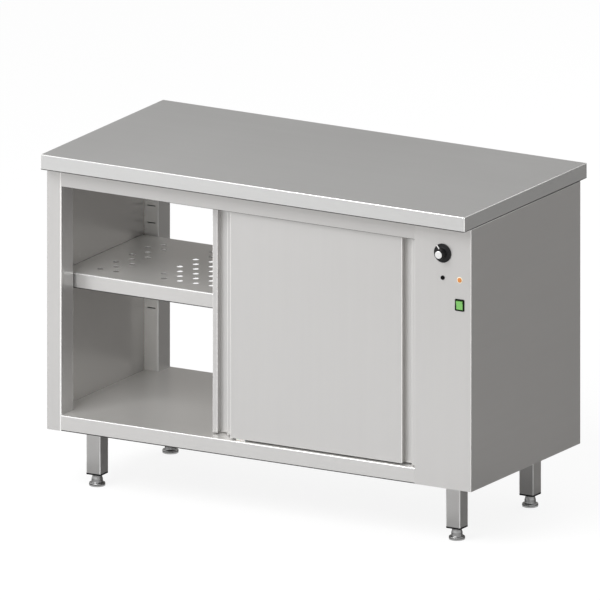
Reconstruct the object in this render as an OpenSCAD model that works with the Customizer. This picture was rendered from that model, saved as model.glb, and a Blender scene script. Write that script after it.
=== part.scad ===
// Heated plate cabinet on four legs: a pass-through steel cupboard with a pair of sliding
// doors at the front and at the rear, one perforated shelf, and a control column at the right.
// Millimetres, +Z up, front towards -Y, origin on the floor under the middle of the cabinet.

/* [Overall] */
// Width of the worktop and of the carcass
width = 1200; // [1000:1:1600]
// Depth of the worktop
depth = 600; // [560:1:700]
// Height of the worktop above the floor
height = 855; // [800:1:950]
// Height of the carcass bottom above the floor
leg_height = 151; // [110:1:200]

/* [Worktop] */
// Height of the worktop's folded edge
top_edge = 39; // [34:1:60]
// Thickness of the worktop sheet
top_sheet = 1.5; // [1:0.1:2]
// Thickness of the board glued under the sheet
board_thickness = 18; // [12:1:22]
// How far the worktop stands out over the carcass at the front and at the rear
overhang = 32; // [20:1:45]
// Width of the inward hem at the foot of the worktop's edge
hem = 10; // [6:1:14]
// Width of the stiffening channels under the board
channel_w = 50; // [36:1:54]
// Sheet of the stiffening channels
channel_sheet = 1.5; // [1:0.1:2]

/* [Carcass] */
// Thickness of the carcass sheet
sheet = 1; // [0.8:0.1:1.5]
// Width of the left posts as seen from the front
post_width = 40; // [32:1:54]
// Height of the rail over the doors
top_rail = 45; // [38:1:60]
// Height of the rail under the doors, which the floor panel is folded down to form
bottom_rail = 40; // [30:1:60]
// Width of the control column
column_width = 160; // [156:1:220]
// Width of the folds that stiffen the rails and carry the covers
flange = 20; // [14:1:24]

/* [Shelf slots] */
// Height of the lowest slot above the cabinet floor
slot_first = 158.5; // [60:0.5:200]
// Distance between slots
slot_pitch = 43.2; // [30:0.1:50]
// Width of a slot
slot_w = 23; // [12:1:26]
// Height of a slot
slot_h = 2.5; // [2:0.1:4]
// Slot that the shelf brackets hang in, counted from 0
shelf_slot = 4; // [1:1:7]

/* [Shelf] */
// Height of the shelf's folded lips
shelf_lip = 39; // [20:1:50]
// Room between the shelf and the posts, and the walls beside its ends
shelf_end_gap = 1; // [1:0.5:4]
// Room between the shelf's lips and the slotted faces
shelf_gap = 8; // [4:1:14]
// Width of the hems under the lips
shelf_hem = 12; // [6:1:20]
// Diameter of the air holes
hole_d = 16; // [8:1:20]
// Distance between neighbouring air holes
hole_pitch = 45; // [36:1:60]
// Rows of air holes from front to rear
hole_rows = 8; // [2:2:8]
// Distance from the shelf's end to the first column of holes
zone_start = 73; // [40:1:90]
// Distance from the shelf's end to the middle field of holes
middle_start = 230.5; // [180:0.5:320]
// Columns of holes in each end field
end_columns = 3; // [1:1:4]

/* [Doors] */
// How far the outer doors lie behind the carcass face
door_recess = 12; // [10:1:20]
// Thickness of a door
door_thickness = 20; // [18:1:26]
// Thickness of a door's two skins
skin = 1; // [0.8:0.1:1.5]
// Gap between the outer and the inner door
door_gap = 5; // [4:1:10]
// Gap between the inner door and the slotted faces
door_back_gap = 3; // [2:0.5:6]
// Gap between a shut door's edge and the post
door_end_gap = 1; // [0.5:0.5:4]
// Overlap of the two doors when both are shut
door_overlap = 58; // [48:1:90]
// Width of an open door that is left standing out past the other one
open_reveal = 64; // [50:1:120]
// Gap between the doors and the cabinet floor
door_floor_gap = 3.5; // [3:0.5:6]
// Width of the lip beside the finger groove
grip_lip = 14; // [8:1:18]
// Width of the finger groove
grip_w = 27; // [20:1:30]
// Depth of the finger groove
grip_depth = 15; // [8:0.5:15]

/* [Door running gear] */
// Radius of a roller
roller_r = 10; // [8:0.5:11]
// Width of a roller
roller_w = 5.5; // [4:0.5:6]
// Radius of a roller's axle
axle_r = 2; // [1.5:0.1:3]
// Distance from a door's edge to its hanger
hanger_inset = 60; // [40:1:120]
// Length of a hanger's foot along the door
hanger_w = 40; // [24:1:60]
// Thickness of the hanger plate
hanger_t = 2; // [1.5:0.1:2.5]
// Wall of the track
track_wall = 1.5; // [1:0.1:2]
// Thickness of the track's upper web
track_web = 2; // [1.5:0.1:3]
// Room over a roller
roller_headroom = 2; // [1:0.5:4]
// Length of a guide block along the doors
guide_w = 25; // [12:1:30]
// Height of a guide block inside the door
guide_h = 15; // [8:1:24]
// Side clearance of a guide block in a door
guide_gap = 0.5; // [0.3:0.1:1]

/* [Legs] */
// Side of the square leg tube
leg_side = 40; // [36:1:50]
// Wall of the leg tube
leg_wall = 1.5; // [1:0.1:2.5]
// Inner corner radius of the leg tube
leg_bend = 0.7; // [0.4:0.1:3]
// Distance from the cabinet's side to a leg's middle
leg_inset_x = 91; // [60:1:140]
// Distance from the worktop's front edge to a leg's middle
leg_inset_y = 120.5; // [116:0.5:180]
// Width of the channels that the legs are welded into
frame_w = 60; // [54:1:90]
// Thickness of those channels
frame_wall = 2; // [1.5:0.1:3]
// Height of the insert's rim under the leg tube
rim_h = 4; // [2:0.5:5]
// Height of the insert inside the leg tube
insert_h = 28; // [15:1:40]

/* [Adjustable feet] */
// Diameter of a foot pad
pad_d = 40; // [34:1:50]
// Height of a foot pad
pad_h = 9; // [6:0.5:12]
// Height of the neck between the pad and the leg
neck_h = 21; // [14:1:30]
// Diameter of the neck where it meets the pad
neck_d = 28; // [22:1:30]
// Diameter of the neck under the leg
neck_top_d = 23.5; // [16:0.5:24]
// Diameter of the threaded stem
stem_d = 10; // [8:1:12]
// Travel of a foot
foot_travel = 25; // [10:1:30]

/* [Controls] */
// Distance from the column's left edge to the knob and the reset button
knob_inset = 80; // [64:1:90]
// Distance from the cabinet's right side to the lamp and the switch
lamp_inset = 32; // [30:1:40]
// Distance from the carcass top to the knob
knob_drop = 68.5; // [40:0.5:100]
// Distance from the knob down to the lamp and the reset button
lamp_drop = 62.5; // [50:0.5:90]
// Distance from the lamp down to the power switch
switch_drop = 63.5; // [45:0.5:90]
// Diameter of the knob's skirt
skirt_d = 48; // [36:1:60]
// Thickness of the knob's skirt
skirt_h = 2.5; // [1.5:0.5:4]
// Diameter of the knob's barrel
barrel_d = 26; // [20:1:32]
// Length of the knob's barrel in front of its skirt
barrel_l = 18; // [12:1:22]
// Diameter of the knob's metal cap
cap_d = 19; // [10:1:20]
// Radius of the thermostat shaft
shaft_r = 3; // [2:0.5:4]
// Radius of the reset button
button_r = 3.5; // [2:0.1:4]
// Travel of the reset button
button_travel = 2; // [1:0.5:3]
// Radius of the pilot lamp's lens
lens_r = 6; // [4:0.5:8]
// Width of the power switch's bezel
bezel_w = 26; // [22:1:30]
// Height of the power switch's bezel
bezel_h = 30; // [28:1:40]
// Angle of the rocker to the panel in either position
rocker_tilt = 8; // [4:1:10]

/* [Heating unit] */
// Height of the fan's axis above the cabinet floor
fan_up = 140; // [135:1:300]
// Side of the fan casing
casing_side = 250; // [230:1:260]
// Depth of the fan casing
casing_depth = 68; // [62:1:70]
// Radius of the impeller
fan_r = 70; // [50:1:75]
// Blades of the impeller
fan_blades = 14; // [6:1:20]
// Radius of the fan's shaft
fan_shaft_r = 4; // [3:0.5:5]
// Radius of the heating ring
heater_r = 96; // [88:1:100]
// Distance from the partition to the heating ring's plane
heater_inset = 30; // [24:1:36]
// Radius of the heating tube
heater_tube_r = 4.25; // [3:0.25:5]
// Radius of the cable hole in the gland
cable_r = 4.5; // [3:0.5:6]
// Height of the gland above the cabinet floor
gland_up = 50; // [40:1:100]

/* [Hidden] */
$fn = 48;

// Radial clearance of a shaft in its bore, and air between faces that move past each other
fit = 0.05;
air = 0.3;
// Length added to a cutting tool past the face that it cuts
cut = 1;

// Carcass planes
x_left = -width / 2;
x_right = width / 2;
y_top = depth / 2;
y_body = y_top - overhang;
z_base = leg_height;
z_top = height - top_edge;
floor_z = z_base + bottom_rail;
open_left = x_left + post_width;
open_right = x_right - column_width;
wall_left = x_left + sheet;
wall_right = open_right + post_width - sheet;
post_depth = door_recess + 2 * door_thickness + door_gap + door_back_gap;
y_post = y_body - post_depth;
board_z = height - top_sheet - board_thickness;
cross_gap = 5;

// Shelf
shelf_x0 = wall_left + shelf_end_gap;
shelf_x1 = wall_right - shelf_end_gap;
shelf_y = y_post - shelf_gap;
slot_count = floor((z_top - top_rail - floor_z - slot_first) / slot_pitch) + 1;
ledge_drop = 24.5;
bracket_wall = 1.5;
ledge_z = floor_z + slot_first + shelf_slot * slot_pitch - ledge_drop;
shelf_z = ledge_z + shelf_lip;
hole_step = hole_pitch / 2;
row_step = hole_pitch * sin(60);
middle_columns = floor((shelf_x1 - shelf_x0 - 2 * middle_start) / hole_step) + 1;

// Doors, from the track down
axle_z = z_top - sheet - track_web - roller_headroom - roller_r;
track_lip_z = axle_z - roller_r - air;
lip_clearance = 1.2;
foot_top_z = track_lip_z - track_wall - lip_clearance;
door_top_z = foot_top_z - hanger_t;
door_z = floor_z + door_floor_gap;
door_h = door_top_z - door_z;
door_w = (open_right - open_left - 2 * door_end_gap + door_overlap) / 2;
outer_x = open_right - door_end_gap - door_w;
inner_x = outer_x - open_reveal;
outer_y = -y_body + door_recess;
inner_y = outer_y + door_thickness + door_gap;

// Across a door: the roller runs in front of the hanger plate
roller_y = 1;
plate_y = roller_y + roller_w + 1;
guide_x = outer_x + door_overlap / 2;

// Legs and feet
leg_x = width / 2 - leg_inset_x;
leg_y = depth / 2 - leg_inset_y;
rim_z = pad_h + neck_h;
leg_z = rim_z + rim_h;
stem_end = 4;
stem_top = leg_z + insert_h + foot_travel + stem_end;
pin_r = 4;
pin_depth = 5;

// Controls
panel_y = -y_body;
knob_x = open_right + knob_inset;
knob_z = z_top - knob_drop;
lamp_x = x_right - lamp_inset;
lamp_z = knob_z - lamp_drop;
switch_z = lamp_z - switch_drop;
barrel_y = panel_y - air - skirt_h - barrel_l;
cap_t = 1.5;
bushing_r = shaft_r + 2.5;
collar_r = button_r + 2;
collar_t = 1.5;
button_out = 3;
button_in = 8;
lamp_hole_r = lens_r - 0.8;
lamp_rim_r = lens_r + 2;
lamp_rim_t = 1;
lens_out = 2.5;
lamp_depth = 22;
switch_w = bezel_w - 4;
switch_h = bezel_h - 3;
switch_wall = 1.5;
switch_depth = 24;
well_depth = 12;
bezel_t = 2;
pivot_r = 1.5;
pivot_y = panel_y + 3;
rocker_w = switch_w - 2 * switch_wall - 1;
rocker_h = switch_h - 2 * switch_wall - 3;

// Heating unit, on the column's side of the partition
fan_z = floor_z + fan_up;
casing_x = wall_right + sheet;
casing_back = casing_x + casing_depth;
fan_front_gap = 12;
fan_back_gap = 20;
fan_x0 = casing_x + fan_front_gap;
fan_x1 = casing_back - fan_back_gap;
fan_disc = 2;
blade_r = 0.55 * fan_r;
motor_r = 42;
motor_l = 36;
heater_x = casing_x + heater_inset;
heater_gap = 24;
heater_end_r = heater_tube_r + 1.75;
terminal_l = 12;
heater_end_z = -sqrt(heater_r * heater_r - heater_gap * heater_gap / 4);
gland_x = (open_right + x_right) / 2;
gland_z = floor_z + gland_up;
gland_wall = 4;
gland_in = 10;
gland_out = 16;
gland_collar = 8;
screw_r = 2;
screw_inset = 10;

// Vent slots in the cover, and air slots in the wall behind the fan
vent_rows = 6;
vent_h = 5;
vent_pitch = 14;
vent_rise = 300;
air_slot = 6;
air_pitch = 13;

// Thermostat, limiter and sensing bulb
thermostat_side = 42;
thermostat_depth = 26;
limiter_side = 26;
bulb_y = -120;
bulb_r = 3;
bulb_l = 56;
tube_r = 1;

// Cover screws
screw_rows = 4;
screw_xs = [open_right + screw_inset, x_right - screw_inset];
screw_zs = [for (i = [0 : screw_rows - 1])
    z_base + 2 * screw_inset + i * (z_top - z_base - 4 * screw_inset) / (screw_rows - 1)];

steel = [0.78, 0.78, 0.77];
dark_steel = [0.55, 0.55, 0.54];
nylon = [0.93, 0.93, 0.91];
black = [0.07, 0.07, 0.07];

// A box between two corners
module block(low, high) {
    translate(low) cube(high - low);
}

// An outline drawn across the depth (Y) and the height (Z), pulled along the width
module along_x(x0, x1) {
    translate([x0, 0, 0]) rotate([90, 0, 90]) linear_extrude(x1 - x0) children();
}

// A rod towards +X, +Y, or +Z from a point
module rod_x(at, r, l) {
    translate(at) rotate([0, 90, 0]) cylinder(r = r, h = l);
}
module rod_y(at, r, l) {
    translate(at) rotate([-90, 0, 0]) cylinder(r = r, h = l);
}
module rod_z(at, r, l) {
    translate(at) cylinder(r = r, h = l);
}

// The same piece at the front or, mirrored, at the rear
module at_side(side) {
    if (side == "front") children();
    else mirror([0, 1, 0]) children();
}

// The same piece at both sides
module both_sides() {
    children();
    mirror([0, 1, 0]) children();
}

// A square with round corners
module round_square(side, r) {
    half = side / 2 - r;
    square([side, side - 2 * r], center = true);
    square([side - 2 * r, side], center = true);
    for (x = [-half, half], y = [-half, half]) translate([x, y]) circle(r);
}

// Worktop --------------------------------------------------------------------------------

// Steel sheet folded down on four sides, with a hem turned in under the edge
module worktop_skin() color(steel) difference() {
    block([x_left, -y_top, z_top], [x_right, y_top, height]);
    block([x_left + top_sheet, -y_top + top_sheet, z_top + top_sheet],
          [x_right - top_sheet, y_top - top_sheet, height - top_sheet]);
    block([x_left + hem, -y_top + hem, z_top - cut],
          [x_right - hem, y_top - hem, z_top + top_sheet + cut]);
}

module worktop_board() color("peru")
    block([x_left + top_sheet, -y_top + top_sheet, board_z],
          [x_right - top_sheet, y_top - top_sheet, height - top_sheet]);

// A channel open downwards, across the depth at y
module channel_section(y, w, low, high, wall) {
    difference() {
        translate([y - w / 2, low]) square([w, high - low]);
        translate([y - w / 2 + wall, low - cut]) square([w - 2 * wall, high - low - wall + cut]);
    }
}

// Two long channels that stand on the rails, and three cross ones between them
module worktop_channels() color(dark_steel) {
    channel_y = y_body - post_depth / 2;
    for (side = [-1, 1]) along_x(x_left + hem + flange, x_right - hem - flange)
        channel_section(side * channel_y, channel_w, z_top, board_z, channel_sheet);
    inner = channel_y - channel_w / 2;
    for (i = [-1 : 1]) translate([i * width / 3, 0, 0]) rotate([0, 0, 90])
        along_x(-inner, inner)
            channel_section(0, channel_w, z_top + cross_gap, board_z, channel_sheet);
}

// Carcass --------------------------------------------------------------------------------

module left_side_panel() color(steel)
    block([x_left, -y_body + sheet, z_base], [wall_left, y_body - sheet, z_top]);

// The column's outer wall, folded in behind the control panel, behind the service cover and
// under the worktop
module right_side_panel() color(steel) difference() {
    union() {
        block([x_right - sheet, -y_body + sheet, z_base], [x_right, y_body - sheet, z_top]);
        block([x_right - flange - sheet, -y_body + sheet, z_top - sheet],
              [x_right, y_body - sheet, z_top]);
        both_sides() block([x_right - flange - sheet, -y_body + sheet, z_base],
                           [x_right, -y_body + 2 * sheet, z_top]);
    }
    screw_holes();
    control_holes();
}

module slot_row(x) {
    for (i = [0 : slot_count - 1])
        block([x - slot_w / 2, -y_post - 2 * sheet, floor_z + slot_first + i * slot_pitch],
              [x + slot_w / 2, -y_post + cut, floor_z + slot_first + i * slot_pitch + slot_h]);
}

// Post folded from one sheet: the face, the jamb beside the doors and the slotted strip
module left_posts() color(steel) both_sides() difference() {
    translate([0, 0, z_base]) linear_extrude(z_top - z_base) polygon([
        [x_left, -y_body], [open_left, -y_body], [open_left, -y_post], [wall_left, -y_post],
        [wall_left, -y_post - sheet], [open_left - sheet, -y_post - sheet],
        [open_left - sheet, -y_body + sheet], [x_left, -y_body + sheet]
    ]);
    slot_row((wall_left + open_left) / 2);
}

// The same post beside the column, with a narrow fold behind the panel
module right_posts() color(steel) difference() {
    both_sides() difference() {
        translate([0, 0, z_base]) linear_extrude(z_top - z_base) polygon([
            [open_right, -y_body + sheet], [open_right + flange, -y_body + sheet],
            [open_right + flange, -y_body + 2 * sheet], [open_right + sheet, -y_body + 2 * sheet],
            [open_right + sheet, -y_post - sheet], [wall_right, -y_post - sheet],
            [wall_right, -y_post], [open_right, -y_post]
        ]);
        slot_row((open_right + wall_right) / 2);
    }
    screw_holes();
    control_holes();
}

// Holes for the controls, through the panel and any fold behind it
module control_holes() {
    depth_cut = 2 * sheet + 2 * cut;
    rod_y([knob_x, panel_y - cut, knob_z], bushing_r + air, depth_cut);
    rod_y([knob_x, panel_y - cut, lamp_z], button_r + 1 + air, depth_cut);
    rod_y([lamp_x, panel_y - cut, lamp_z], lamp_hole_r + air, depth_cut);
    block([lamp_x - switch_w / 2 - air, panel_y - cut, switch_z - switch_h / 2 - air],
          [lamp_x + switch_w / 2 + air, panel_y - cut + depth_cut, switch_z + switch_h / 2 + air]);
}

module control_panel() color(steel) difference() {
    block([open_right, -y_body, z_base], [x_right, -y_body + sheet, z_top]);
    control_holes();
}

// Holes for the cover's screws, through the cover and the folds behind it
module screw_holes() {
    for (x = screw_xs, z = screw_zs)
        rod_y([x, y_body - 3 * sheet, z], screw_r + fit, 3 * sheet + cut);
}

module service_cover() color(steel) difference() {
    block([open_right, y_body - sheet, z_base], [x_right, y_body, z_top]);
    screw_holes();
    rod_y([gland_x, y_body - sheet - cut, gland_z], cable_r + gland_wall + air, sheet + 2 * cut);
    vent_w = column_width - 2 * flange - 4 * screw_inset;
    for (bank = [0, 1], i = [0 : vent_rows - 1]) {
        z = fan_z + bank * vent_rise + i * vent_pitch;
        block([gland_x - vent_w / 2, y_body - sheet - cut, z],
              [gland_x + vent_w / 2, y_body + cut, z + vent_h]);
    }
}

module cover_screws() color(dark_steel) for (x = screw_xs, z = screw_zs) {
    rod_y([x, y_body - 4 * sheet, z], screw_r, 4 * sheet + cut);
    rod_y([x, y_body, z], 2 * screw_r, 2);
}

// Wall between the heated chamber and the column, with the fan's air slots
module partition_wall() color(steel) difference() {
    block([wall_right, -y_body + 2 * sheet, floor_z],
          [wall_right + sheet, y_body - 2 * sheet, z_top]);
    intake_r = fan_r - 10;
    pairs = floor((intake_r - air_slot) / air_pitch);
    for (i = [-pairs : pairs]) {
        half = sqrt(intake_r * intake_r - i * i * air_pitch * air_pitch);
        block([wall_right - cut, i * air_pitch - air_slot / 2, fan_z - half],
              [casing_x + cut, i * air_pitch + air_slot / 2, fan_z + half]);
    }
    for (side = [-1, 1], i = [0, 1]) {
        y = side * (heater_r + 2 + i * air_pitch);
        block([wall_right - cut, y - air_slot / 2, fan_z - fan_r],
              [casing_x + cut, y + air_slot / 2, fan_z + fan_r]);
    }
    rod_x([wall_right - cut, bulb_y, knob_z], 2 * tube_r, sheet + 2 * cut);
}

// Inverted angle: the face over the doors and the shelf that carries the track
module top_rails() color(steel) both_sides() along_x(open_left, open_right) {
    translate([-y_body, z_top - top_rail]) square([sheet, top_rail]);
    translate([-y_body, z_top - sheet]) square([post_depth, sheet]);
    translate([-y_body, z_top - top_rail]) square([door_recess - 3, sheet]);
    translate([-y_post - sheet, z_top - flange]) square([sheet, flange]);
}

// Sheet that closes the heated chamber under the worktop
module chamber_ceiling() color(steel)
    block([wall_left, -y_post, z_top - sheet], [wall_right, y_post, z_top]);

// One runway of the track: its wall and the lip that the rollers run on
module runway(door_y) {
    wall_y = door_y + roller_y - air - track_wall - 1;
    translate([wall_y, track_lip_z - track_wall])
        square([track_wall, z_top - sheet - track_lip_z + track_wall]);
    translate([wall_y, track_lip_z - track_wall])
        square([door_y + plate_y - lip_clearance / 2 - wall_y, track_wall]);
}

module track_piece(side) color("lightgray") at_side(side) along_x(open_left, open_right) {
    runway(outer_y);
    runway(inner_y);
    front = outer_y + roller_y - air - track_wall - 1;
    back = -y_post - sheet - 1;
    translate([front, z_top - sheet - track_web]) square([back - front, track_web]);
    translate([back - track_wall, track_lip_z]) square([track_wall, z_top - sheet - track_lip_z]);
}
module front_door_track() track_piece("front");
module rear_door_track() track_piece("rear");

// Floor of the cabinet, folded down at the front and at the rear to make the lower rails
module cabinet_floor() color(steel) difference() {
    union() {
        block([wall_left, -y_body + 2 * sheet, floor_z - sheet],
              [x_right - sheet, y_body - 2 * sheet, floor_z]);
        block([open_left, -y_body, floor_z - sheet], [open_right, y_body, floor_z]);
        both_sides() {
            block([open_left, -y_body, z_base], [open_right, -y_body + sheet, floor_z]);
            block([open_left, -y_body, z_base], [open_right, -y_body + flange, z_base + sheet]);
        }
    }
    both_sides() {
        block([x_left, -y_body, floor_z - sheet - cut], [open_left, -y_post, floor_z + cut]);
        block([open_right, -y_body, floor_z - sheet - cut], [wall_right, -y_post, floor_z + cut]);
    }
}

// Nylon block on the floor that stands up inside the hollow foot of both doors
module door_guides() color(nylon) both_sides() {
    for (y = [outer_y, inner_y])
        block([guide_x - guide_w / 2, y + skin + guide_gap, floor_z],
              [guide_x + guide_w / 2, y + door_thickness - skin - guide_gap, floor_z + guide_h]);
    block([guide_x - guide_w / 2, outer_y + skin + guide_gap, floor_z],
          [guide_x + guide_w / 2, inner_y + door_thickness - skin - guide_gap, floor_z + 2]);
}

// Shelf ----------------------------------------------------------------------------------

// A field of air holes: neighbouring columns are staggered by one row
module hole_field(x0, columns, first_row) {
    for (i = [0 : columns - 1], j = [0 : hole_rows - 1])
        if ((i + j) % 2 == first_row)
            rod_z([x0 + i * hole_step, (j - (hole_rows - 1) / 2) * row_step, shelf_z - sheet - cut],
                  hole_d / 2, sheet + 2 * cut);
}

module shelf() color(steel) difference() {
    union() {
        block([shelf_x0, -shelf_y, shelf_z - sheet], [shelf_x1, shelf_y, shelf_z]);
        both_sides() {
            block([shelf_x0, -shelf_y, ledge_z], [shelf_x1, -shelf_y + sheet, shelf_z]);
            block([shelf_x0, -shelf_y, ledge_z], [shelf_x1, -shelf_y + shelf_hem, ledge_z + sheet]);
        }
    }
    hole_field(shelf_x0 + zone_start, end_columns, 0);
    hole_field(shelf_x0 + middle_start, middle_columns, 1);
    hole_field(shelf_x1 - zone_start - (end_columns - 1) * hole_step, end_columns, 0);
}

// Hooks in the slotted strips: a tab in the slot, an upright and the ledge under the shelf
module shelf_brackets() color(dark_steel) {
    wall = bracket_wall;
    tab_z = floor_z + slot_first + shelf_slot * slot_pitch;
    half = slot_w / 2 - wall;
    for (x = [(wall_left + open_left) / 2, (open_right + wall_right) / 2]) both_sides() {
        block([x - half, -y_post - sheet - 5, tab_z], [x + half, -y_post + wall, tab_z + wall]);
        block([x - half, -y_post, ledge_z - wall], [x + half, -y_post + wall, tab_z + wall]);
        block([x - half, -y_post, ledge_z - wall], [x + half, -y_post + flange, ledge_z]);
    }
}

// Doors ----------------------------------------------------------------------------------

// Plan of a door's outline, with the groove near its left edge
module door_outline() difference() {
    square([door_w, door_thickness - skin]);
    translate([grip_lip, -cut]) square([grip_w, grip_depth + cut]);
}

module door_hollow() difference() {
    translate([skin, skin]) square([door_w - 2 * skin, door_thickness]);
    translate([grip_lip - skin, -cut]) square([grip_w + 2 * skin, grip_depth + skin + cut]);
}

// Puts a door drawn from its left edge into place: the outer one has its groove at the right
module hang(which) {
    if (which == "outer") translate([outer_x + door_w, outer_y, 0]) mirror([1, 0, 0]) children();
    else translate([inner_x, inner_y, 0]) children();
}

// Folded front skin: sides, top and finger groove in one sheet, open at the foot
module door_shell(side, which) color(steel) at_side(side) hang(which) {
    translate([0, 0, door_z]) linear_extrude(door_h) difference() {
        door_outline();
        door_hollow();
    }
    translate([0, 0, door_top_z - skin]) linear_extrude(skin) door_outline();
}

// Flat sheet that closes the door's back
module door_back(side, which) color(dark_steel) at_side(side) hang(which)
    block([0, door_thickness - skin, door_z], [door_w, door_thickness, door_top_z]);

// Angle plate on the door's top edge with the axle of a roller
module hanger_pair(side, which) color("gray") at_side(side) hang(which)
    for (x = [hanger_inset, door_w - hanger_inset]) {
        block([x - hanger_w / 2, skin, door_top_z], [x + hanger_w / 2, door_thickness - skin, foot_top_z]);
        block([x - hanger_w / 4, plate_y, door_top_z],
              [x + hanger_w / 4, plate_y + hanger_t, axle_z + roller_r / 2]);
        rod_y([x, roller_y, axle_z], axle_r, plate_y - roller_y + hanger_t / 2);
    }

// Left or right roller of a door, as seen from the front
module roller(side, which, hand) color(nylon) at_side(side) hang(which) {
    near = hanger_inset;
    far = door_w - hanger_inset;
    x = (which == "outer") == (hand == "left") ? far : near;
    rim = 0.8;
    translate([x, roller_y, axle_z]) rotate([-90, 0, 0]) rotate_extrude() polygon([
        [axle_r + fit, 0], [roller_r - rim, 0], [roller_r, rim],
        [roller_r, roller_w - rim], [roller_r - rim, roller_w], [axle_r + fit, roller_w]
    ]);
}

module front_outer_door() door_shell("front", "outer");
module front_outer_back() door_back("front", "outer");
module front_outer_hangers() hanger_pair("front", "outer");
module front_outer_roller_l() roller("front", "outer", "left");
module front_outer_roller_r() roller("front", "outer", "right");
module front_inner_door() door_shell("front", "inner");
module front_inner_back() door_back("front", "inner");
module front_inner_hangers() hanger_pair("front", "inner");
module front_inner_roller_l() roller("front", "inner", "left");
module front_inner_roller_r() roller("front", "inner", "right");
module rear_outer_door() door_shell("rear", "outer");
module rear_outer_back() door_back("rear", "outer");
module rear_outer_hangers() hanger_pair("rear", "outer");
module rear_outer_roller_l() roller("rear", "outer", "left");
module rear_outer_roller_r() roller("rear", "outer", "right");
module rear_inner_door() door_shell("rear", "inner");
module rear_inner_back() door_back("rear", "inner");
module rear_inner_hangers() hanger_pair("rear", "inner");
module rear_inner_roller_l() roller("rear", "inner", "left");
module rear_inner_roller_r() roller("rear", "inner", "right");

// Legs and feet --------------------------------------------------------------------------

// Two channels under the floor, each with a front and a rear leg tube welded into it
module leg_frames() color(steel) {
    frame_top = floor_z - sheet;
    frame_y = y_post;
    for (x = [-leg_x, leg_x]) {
        translate([x, 0, 0]) rotate([0, 0, 90]) along_x(-frame_y, frame_y)
            channel_section(0, frame_w, z_base + sheet, frame_top, frame_wall);
        for (y = [-leg_y, leg_y]) translate([x, y, leg_z])
            linear_extrude(frame_top - frame_wall / 2 - leg_z) difference() {
                round_square(leg_side, leg_bend + leg_wall);
                round_square(leg_side - 2 * leg_wall, leg_bend);
            }
    }
}

// Plastic plugs in the leg tubes, with a rim under the tube and a hole for the stem
module leg_inserts() color(black) {
    plug = leg_side - 2 * leg_wall - 2 * fit;
    for (x = [-leg_x, leg_x], y = [-leg_y, leg_y]) translate([x, y, rim_z]) difference() {
        union() {
            linear_extrude(rim_h) round_square(leg_side, leg_bend + leg_wall);
            linear_extrude(rim_h + insert_h) round_square(plug, leg_bend - fit);
        }
        rod_z([0, 0, -cut], stem_d / 2 + fit, rim_h + insert_h + 2 * cut);
    }
}

// Neck and threaded stem of a foot, with the pin that turns in the pad
module foot_stem(x, y) color("gray") translate([x * leg_x, y * leg_y, 0]) rotate_extrude()
    polygon([
        [0, pad_h - pin_depth + 2 * fit], [pin_r, pad_h - pin_depth + 2 * fit], [pin_r, pad_h],
        [neck_d / 2, pad_h], [neck_d / 2, pad_h + 0.45 * neck_h],
        [neck_top_d / 2, pad_h + 0.75 * neck_h], [neck_top_d / 2, rim_z],
        [stem_d / 2, rim_z], [stem_d / 2, stem_top], [0, stem_top]
    ]);

// Round pad of a foot, with a rounded upper edge and a socket for the pin
module foot_pad(x, y) color("gray") translate([x * leg_x, y * leg_y, 0]) {
    r = pad_h / 4;
    outer = pad_d / 2;
    difference() {
        union() {
            rod_z([0, 0, 0], outer - r, pad_h);
            rod_z([0, 0, 0], outer, pad_h - r);
            translate([0, 0, pad_h - r]) rotate_extrude() translate([outer - r, 0]) circle(r);
        }
        rod_z([0, 0, pad_h - pin_depth], pin_r + fit, pin_depth + cut);
    }
}

module foot_stem_fl() foot_stem(-1, -1);
module foot_stem_fr() foot_stem(1, -1);
module foot_stem_rl() foot_stem(-1, 1);
module foot_stem_rr() foot_stem(1, 1);
module foot_pad_fl() foot_pad(-1, -1);
module foot_pad_fr() foot_pad(1, -1);
module foot_pad_rl() foot_pad(-1, 1);
module foot_pad_rr() foot_pad(1, 1);

// Controls -------------------------------------------------------------------------------

// The room thermostat with its sensing tube, and the safety limiter behind the reset button
module thermostats() color("dimgray") {
    back = panel_y + sheet;
    difference() {
        union() {
            block([knob_x - thermostat_side / 2, back, knob_z - thermostat_side / 2],
                  [knob_x + thermostat_side / 2, back + thermostat_depth,
                   knob_z + thermostat_side / 2]);
            rod_y([knob_x, panel_y - air / 2, knob_z], bushing_r, sheet + air);
            rod_y([knob_x, back + thermostat_depth - 1, knob_z], tube_r,
                  bulb_y + 2 * tube_r - back - thermostat_depth + 1);
            rod_x([wall_right - bulb_r - air, bulb_y, knob_z], 1.2 * tube_r,
                  knob_x + 2 * tube_r - wall_right + bulb_r + air);
            rod_z([wall_right - bulb_r - air, bulb_y, knob_z - bulb_l], bulb_r, bulb_l + 3);
        }
        rod_y([knob_x, panel_y - cut, knob_z], shaft_r + fit, thermostat_depth / 2 + cut);
    }
    difference() {
        union() {
            block([knob_x - limiter_side / 2, back, lamp_z - limiter_side / 2],
                  [knob_x + limiter_side / 2, back + limiter_side, lamp_z + limiter_side / 2 - 4]);
            rod_y([knob_x, panel_y - collar_t, lamp_z], button_r + 1, collar_t + sheet + 0.5);
            rod_y([knob_x, panel_y - collar_t, lamp_z], collar_r, collar_t);
        }
        rod_y([knob_x, panel_y - button_out, lamp_z], button_r + fit,
              button_out + sheet + limiter_side / 2);
    }
}

// Turning knob with a wide skirt, on the thermostat's shaft
module thermostat_knob() color(black) {
    rod_y([knob_x, panel_y - air - skirt_h, knob_z], skirt_d / 2, skirt_h);
    rod_y([knob_x, barrel_y, knob_z], barrel_d / 2, barrel_l + skirt_h / 2);
    rod_y([knob_x, barrel_y + 1, knob_z], shaft_r, panel_y + thermostat_depth / 2 - 2 - barrel_y);
}

module knob_cap() color("silver") rod_y([knob_x, barrel_y - cap_t, knob_z], cap_d / 2, cap_t);

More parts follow.
